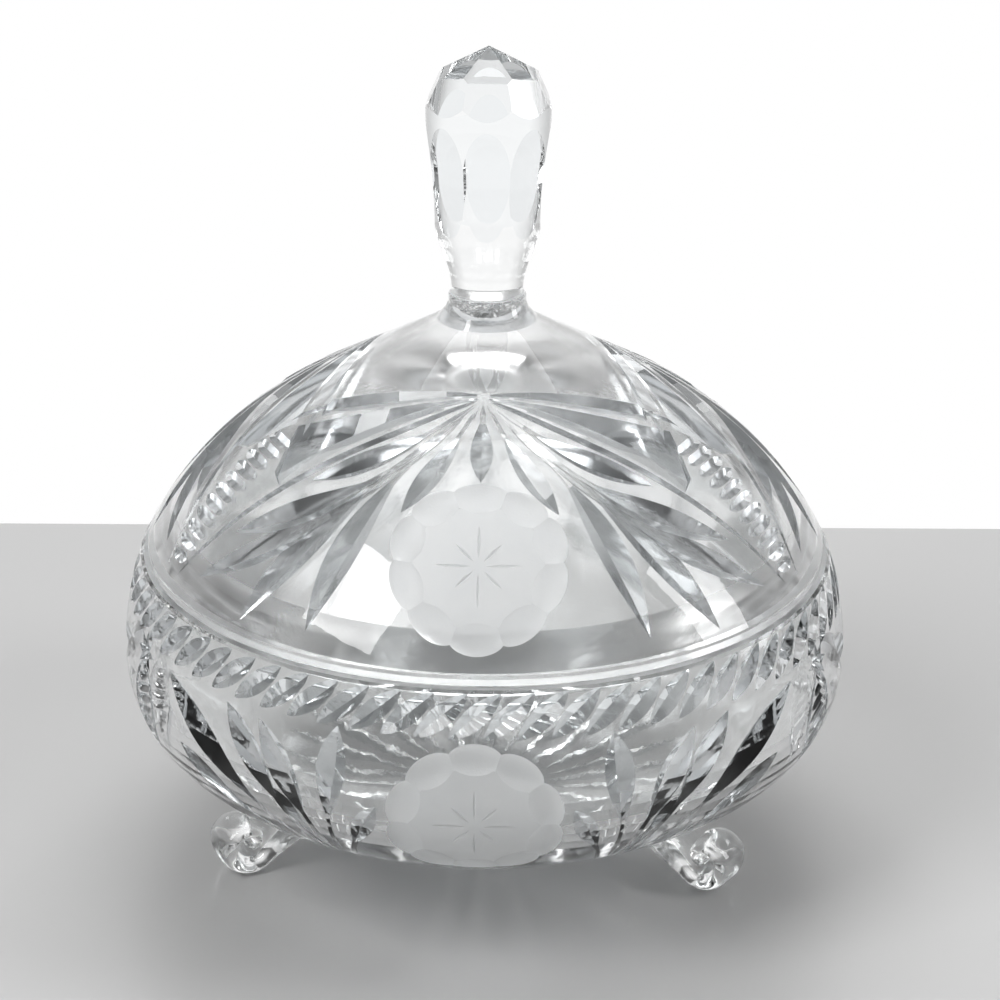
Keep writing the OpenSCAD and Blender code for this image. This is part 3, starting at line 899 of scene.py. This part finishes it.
# %% Star of the underside
UNDER_LEAVES, UNDER_IN, UNDER_LONG = 24, 13.0, 37.0
UNDER_DEPTH, UNDER_OPEN, UNDER_STEPS = 1.7, 1.5, 40
t = np.linspace(0, 1, UNDER_STEPS)
for turn in in_turns(UNDER_LEAVES):
    tools = []
    for k in turn:
        points, outs = on_underside(360 / UNDER_LEAVES * (k + 0.5), UNDER_IN + UNDER_LONG * t)
        tools.append(groove(points, outs, blade_depth(t, UNDER_DEPTH), UNDER_OPEN))
    carve(bowl, tools)
print("bowl with its underside star:", len(bowl.data.polygons), "faces")

# %% [markdown]
# Where cuts cross, a tiny chip can come loose, and on the bench it is rinsed off. Here the largest part is
# kept. Ground facets meet in crisp edges, while the turned surface between them is smooth. Marking as sharp
# every edge that folds by more than a few degrees gives both.

# %% Rinsing and crisp edges
FACET_FOLD = 6
BOX_FIT = 0.9997


def rinse(piece):
    """Drops the loose chips of a piece and says how many corners they had."""
    shape = bmesh.new()
    shape.from_mesh(piece.data)
    waiting = set(shape.verts)
    parts = []
    while waiting:
        front = {waiting.pop()}
        part = list(front)
        while front:
            front = {edge.other_vert(v) for v in front for edge in v.link_edges} & waiting
            waiting -= front
            part += front
        parts.append(part)
    chips = [v for part in sorted(parts, key=len)[:-1] for v in part]
    bmesh.ops.delete(shape, geom=chips, context="VERTS")
    shape.to_mesh(piece.data)
    shape.free()
    return len(chips)


def crisp(piece, degrees):
    mesh = piece.data
    mesh.shade_smooth()
    mesh.set_sharp_from_angle(angle=math.radians(degrees))


for piece in (bowl, lid):
    print("corners rinsed off", piece.name, rinse(piece))
    crisp(piece, FACET_FOLD)
bowl.data.transform(Matrix.Diagonal((BOX_FIT, BOX_FIT, 1, 1)))
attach(bowl, "dish")
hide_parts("bowl")
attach(lid, "cover")
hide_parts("lid")
print("bowl and lid placed")

# %% [markdown]
# The knob is one solid piece. Its stem swells out of a slim neck into a barrel. Its outline could be a
# chain of arcs. It is given at nine heights and then smoothed, which is shorter and leaves no corner in the
# swell. The blank is a little too tall, because the facets come off its top.

# %% Knob blank
NECK_R, STEM_R, BARREL_R, NECK_EASE = 7.8, 11.5, 13.6, 0.3
STEM_H, BARREL_H, KNOB_H, KNOB_SPARE = 14.0, 38.0, 54.79, 1
KNOB_BOND = 0.05
KNOB_Z = COLLAR_Z + KNOB_BOND
SWELL_H = (0, 2.6, 6.5, 10.3, STEM_H, 21, 28, 33, BARREL_H)
SWELL_R = (NECK_R, 7.9, 8.8, 10.2, STEM_R, 12.3, 13.0, 13.4, BARREL_R)
SWELL_PAST, SWELL_STEPS, SMOOTHING = 4, 107, 11
SWELL_LOW, SWELL_HIGH = 0.5, BARREL_H + 1
swell_z = np.linspace(-SWELL_PAST, BARREL_H + SWELL_PAST, SWELL_STEPS)
swell_r = np.pad(np.interp(swell_z, SWELL_H, SWELL_R), SMOOTHING // 2, "edge")
swell_r = np.convolve(swell_r, np.ones(SMOOTHING) / SMOOTHING, "valid")
kept = (swell_z > SWELL_LOW) & (swell_z < SWELL_HIGH)
knob_profile = (
    [(0, 0), (NECK_R - NECK_EASE, 0), (NECK_R, NECK_EASE)]
    + list(zip(swell_r[kept], swell_z[kept]))
    + [(BARREL_R, KNOB_H + KNOB_SPARE), (0, KNOB_H + KNOB_SPARE)]
)
knob = turned("cut_knob", knob_profile, lambda p: GROUND if p[1] == 0 else POLISHED, KNOB_STEPS)
print("knob blank:", len(knob.data.polygons), "faces")

# %% [markdown]
# A flat wheel takes everything over a plane away, so its tool is a big block that lies on that plane. Eight
# flat faces make the shoulder and six make the crown. A coarse mesh would have flat faces too, but its
# barrel would not be round. A broad wheel has ground eight tall oval windows into the barrel. The bed of a
# window is a shallow arc, and the round barrel gives it its oval edge.

# %% Facets and windows of the knob
CROWN_H, CROWN_R, CROWN_FACES = 50.0, 9.8, 6
SHOULDER_SLOPE, SHOULDER_FACES = math.radians(66), 8
WINDOWS, WINDOW_H, WINDOW_Z, WINDOW_DEPTH = 8, 26.0, 27.0, 0.8
WHEEL_HALF_H, WHEEL_HALF_W, WHEEL_OUT, WINDOW_STEPS = 14, 5.4, 4.5, 41
BLOCK_SIZE = 60.0
BLOCK_FACES = [(0, 3, 2, 1), (4, 5, 6, 7), (0, 1, 5, 4), (1, 2, 6, 5), (2, 3, 7, 6), (3, 0, 4, 7)]


def turned_about(points, angle):
    a = math.radians(angle - 90)
    x, y, z = np.asarray(points, float).T
    return np.stack([x * math.cos(a) - y * math.sin(a), x * math.sin(a) + y * math.cos(a), z], -1)


def block(low, high, half):
    """Corners of an upright block that reaches half to each side of the axis."""
    plan = ((-half, -half), (half, -half), (half, half), (-half, half))
    return [(x, y, z) for z in (low, high) for x, y in plan]


def flat_face(at, slope, angle):
    """A block on the plane through a place (radius, height) that falls towards the outside by slope."""
    c, s = math.cos(slope), math.sin(slope)
    corners = block(0, BLOCK_SIZE, BLOCK_SIZE)
    tilted = [(at[0] + x * c + z * s, y, at[1] - x * s + z * c) for x, y, z in corners]
    return turned_about(tilted, angle), BLOCK_FACES


crown_slope = math.atan((KNOB_H - CROWN_H) / (CROWN_R * math.cos(math.pi / CROWN_FACES)))
# The facets and windows get the finish with a pale grey tint of painted shade.
for k in range(CROWN_FACES):
    carve(knob, [flat_face((0, KNOB_H), crown_slope, 360 / CROWN_FACES * k)], FACET_WITH_PAINTED_SHADE)
for k in range(SHOULDER_FACES):
    carve(knob, [flat_face((CROWN_R, CROWN_H), SHOULDER_SLOPE, 360 / SHOULDER_FACES * k)], FACET_WITH_PAINTED_SHADE)

lean = math.atan((BARREL_R - STEM_R) / (BARREL_H - STEM_H))
window_turn = ((WINDOW_H / 2) ** 2 + WINDOW_DEPTH**2) / (2 * WINDOW_DEPTH)
window_r = STEM_R + (WINDOW_Z - STEM_H) * math.tan(lean)


def window(angle):
    """A tool with a curved bed that leans as the barrel does."""
    h = np.linspace(-WHEEL_HALF_H, WHEEL_HALF_H, WINDOW_STEPS)
    bed = window_turn - np.sqrt(window_turn**2 - h**2) - WINDOW_DEPTH
    r = window_r + bed * math.cos(lean) + h * math.sin(lean)
    z = WINDOW_Z - bed * math.sin(lean) + h * math.cos(lean)
    half = np.full_like(h, WHEEL_HALF_W)
    corners = ((r, -half, z), (r, half, z), (r + WHEEL_OUT, half, z), (r + WHEEL_OUT, -half, z))
    points, faces = tube(np.stack([np.stack(corner, -1) for corner in corners], 1))
    return turned_about(points, angle), faces


for turn in in_turns(WINDOWS):
    carve(knob, [window(360 / WINDOWS * k) for k in turn], FACET_WITH_PAINTED_SHADE)
crisp(knob, FACET_FOLD)
knob.data.transform(Matrix.Translation((0, 0, KNOB_Z * MM)))
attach(knob, "cover")
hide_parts("finial")
print("knob:", len(knob.data.polygons), "faces, top at", round(KNOB_Z + KNOB_H, 2), "mm")

# %% [markdown]
# A foot is a gather of hot glass. It was pressed on the underside, drawn out into a strap, let down on a
# flat plate and curled up and over with pincers until it lay in itself like a snail. So it is a thick
# rounded section, swept along the arm and round the curl. A bevelled curve could be swept in the same way,
# but it tapers evenly. This strap's thickness and its width have a taper each.

# %% Strap of a foot
FOOT_R, SCROLL_Z, COIL_R = 60.2, 6.95, 4.9
STRAP_W, STRAP_T, ROOT_T, ROOT_SWELL, ARM_L = 11.5, 4.6, 11.0, 1.3, 20.0
LEAD, CURL_START, CURL_END = math.radians(-130), math.radians(10), math.radians(212)
COIL_CLOSES, COIL_RATE = 3.35, 1.1
COIL_OUT, COIL_UP = 0.3, 0.2
TIP_THINNER, TIP_NARROWER, NARROW_RATE = 2.0, 3.6, 1.4
ARM_FROM, ARM_TO, ARM_STEPS = 0.95, 0.05, 24
CURL_STEPS, SECTION_STEPS, SQUARENESS = 72, 48, 2.6
TIP_ROUNDING = np.linspace(0.25, 1.45, 6)


def strap_stations():
    """(place, thickness, width) along the strap, in the upright plane of the foot."""
    start = np.array([FOOT_R + COIL_R * math.cos(LEAD), SCROLL_Z + COIL_R * math.sin(LEAD)])
    back = np.array([math.sin(LEAD), -math.cos(LEAD)])
    made = []
    for u in np.linspace(ARM_FROM, ARM_TO, ARM_STEPS):
        thick = STRAP_T + (ROOT_T - STRAP_T) * u**ROOT_SWELL
        made.append((start + back * ARM_L * u, thick, STRAP_W - STRAP_T + thick))
    for turn in np.linspace(LEAD, CURL_END, CURL_STEPS):
        u = np.clip((turn - CURL_START) / (CURL_END - CURL_START), 0, 1)
        coil = COIL_R - COIL_CLOSES * u**COIL_RATE
        middle = np.array([FOOT_R + COIL_OUT * u, SCROLL_Z + COIL_UP * u])
        place = middle + coil * np.array([math.cos(turn), math.sin(turn)])
        made.append((place, STRAP_T - TIP_THINNER * u, STRAP_W - TIP_NARROWER * u**NARROW_RATE))
    return made


def swept_strap():
    """The strap as a tube with a rounded square section and a rounded tip."""
    stations = strap_stations()
    places = np.array([s[0] for s in stations])
    along = np.gradient(places, axis=0)
    along /= np.linalg.norm(along, axis=1)[:, None]
    a = np.linspace(0, 2 * math.pi, SECTION_STEPS, endpoint=False)
    wide = np.sign(np.cos(a)) * np.abs(np.cos(a)) ** (2 / SQUARENESS)
    deep = np.sign(np.sin(a)) * np.abs(np.sin(a)) ** (2 / SQUARENESS)
    rings = []
    rounding = [(0.0, 1.0)] + [(math.sin(t), math.cos(t)) for t in TIP_ROUNDING]
    for i, (place, thick, width) in enumerate(stations):
        across = np.array([-along[i][1], along[i][0]])
        ends = rounding if i == len(stations) - 1 else rounding[:1]
        for ahead, size in ends:
            middle = place + along[i] * ahead * thick / 2
            spot = middle + np.outer(deep * size * thick / 2, across)
            rings.append(np.stack([spot[:, 0], wide * size * width / 2, spot[:, 1]], -1))
    return tube(np.stack(rings))


print("stations along a strap:", len(strap_stations()))

# %% [markdown]
# The bowl's outside trims the root of each foot, with a hair of room for the bond. A block trims what would
# go through the floor, and leaves the small flat on which the foot stands. The three feet were set by eye,
# so their angles differ a little from a third of a turn.

# %% Curled feet
FOOT_FOLD, FOOT_ROOM = 40, 0.03
SOLE_DEEP, SOLE_HALF = 20, 99
FOOT_ANGLES = {"left": -64, "right": 60, "back": 180}
bowl_form = [(r + FOOT_ROOM, z - FOOT_ROOM if z < BELLY_Z else z) for r, z in bowl_outside if r > ON_AXIS]
bowl_form = [(0, BASE_Z - FOOT_ROOM)] + bowl_form + [(0, bowl_form[-1][1])]
bowl_tool = turned_mesh(bowl_form)[:2]
sole_tool = turned_about(block(-SOLE_DEEP, 0, SOLE_HALF), 90), BLOCK_FACES
strap_points, strap_faces = swept_strap()
for name, angle in FOOT_ANGLES.items():
    foot = store("curled_foot_" + name, turned_about(strap_points, angle), strap_faces)
    carve(foot, [bowl_tool])
    carve(foot, [sole_tool])
    foot.data.materials.clear()
    foot.data.materials.append(hot_worked)
    crisp(foot, FOOT_FOLD)
    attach(foot, "dish")
    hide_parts("foot_" + name)
    print(foot.name, len(foot.data.polygons), "faces")

# %% [markdown]
# Cut glass has no look of its own: it shows its surroundings, bent and broken up. The floor is a plain pale
# sheet that ends behind the dish, a little aslant. Four soft lights stand above it. The back one gives the
# crown of the lid its highlight, and the key lights the side towards the camera.

# %% Floor and lights
REACH, BACK, SKEW, DROP = 3000, 174, 80, 0.05
FLOOR_GREY, FLOOR_ROUGH = (0.55, 0.55, 0.55, 1), 0.3
LIT_PLACE = Vector((0, 0, 0.06))
SOFTBOXES = {
    "top_softbox": ((0.0, 0.22, 1.15), (0.9, 0.9), 4.5),
    "back_softbox": ((0.0, 0.85, 1.05), (0.9, 0.6), 7),
    "key_softbox": ((-0.9, -0.7, 1.2), (0.7, 0.7), 12),
    "side_softbox": ((1.2, -0.1, 0.7), (0.4, 0.8), 6),
}
floor_plan = ((-REACH, -REACH), (REACH, -REACH), (REACH, BACK + SKEW), (-REACH, BACK - SKEW))
floor = store("floor", [(x, y, -DROP) for x, y in floor_plan], [(0, 1, 2, 3)])
floor_finish, bench = new_finish("floor")
paper = bench.node("ShaderNodeBsdfPrincipled", {}, {"Base Color": FLOOR_GREY, "Roughness": FLOOR_ROUGH})
bench.node("ShaderNodeOutputMaterial", {}, {"Surface": paper})
floor.data.materials.append(floor_finish)
for name, (at, size, watts) in SOFTBOXES.items():
    light = bpy.data.lights.new(name, "AREA")
    light.shape = "RECTANGLE"
    light.size, light.size_y = size
    light.energy = watts
    lamp = bpy.data.objects.new(name, light)
    bpy.context.scene.collection.objects.link(lamp)
    lamp.location = at
    lamp.rotation_euler = (LIT_PLACE - lamp.location).to_track_quat("-Z", "Y").to_euler()
print("floor and", len(SOFTBOXES), "soft lights")

# %% [markdown]
# A product photographer puts glass in a white surround with dark gaps, so that some facets are bright and
# some are nearly black. White cards round the dish could do that. The world does it with fewer parts: it is
# white low down and dark overhead, and darker at the sides than in front and behind. The camera itself sees
# plain white. Matt surfaces get less of it than glass does, so the floor stays a plain grey.

# %% Surround
TONES = [(0.0, 1.0), (0.62, 1.0), (0.74, 0.10), (1.0, 0.2)]
SIDE_TONE, FULL_TONE, FULL_AT, OVERHEAD_GUARD = 0.3, 1.0, 0.8, 1.02
WHITE = (1, 1, 1, 1)
SCATTERED_LESS = 0.3
BOUNCES, MIRROR_BOUNCES = 32, 12
world = bpy.data.worlds.new("studio")
bpy.context.scene.world = world
world.use_nodes = True
sky = Bench(world.node_tree)
to_camera = sky.node("ShaderNodeLightPath", out="Is Camera Ray")
scattered = sky.node("ShaderNodeLightPath", out="Is Diffuse Ray")
look = sky.node("ShaderNodeTexCoord", out="Generated")
forward = sky.node("ShaderNodeSeparateXYZ", {}, {0: look}, out="Y")
upward = sky.node("ShaderNodeSeparateXYZ", {}, {0: look}, out="Z")
facing = forward * forward / (OVERHEAD_GUARD - upward * upward)
tone = sky.node("ShaderNodeValToRGB", {"stops": TONES}, {0: upward * 0.5 + 0.5})
shade = sky.node("ShaderNodeMapRange", {}, {
    "Value": facing, "From Max": FULL_AT, "To Min": SIDE_TONE, "To Max": FULL_TONE,
})
surround = sky.mix(1.0, tone, shade, "MULTIPLY")
seen = sky.mix(to_camera, surround, WHITE)
strength = 1.0 - scattered * SCATTERED_LESS
background = sky.node("ShaderNodeBackground", {}, {"Color": seen, "Strength": strength})
sky.node("ShaderNodeOutputWorld", {}, {"Surface": background})
scene = bpy.context.scene
scene.cycles.max_bounces = BOUNCES
scene.cycles.transmission_bounces = BOUNCES
scene.cycles.glossy_bounces = MIRROR_BOUNCES
scene.view_settings.view_transform = "Standard"
print("white surround, up to", BOUNCES, "bounces")
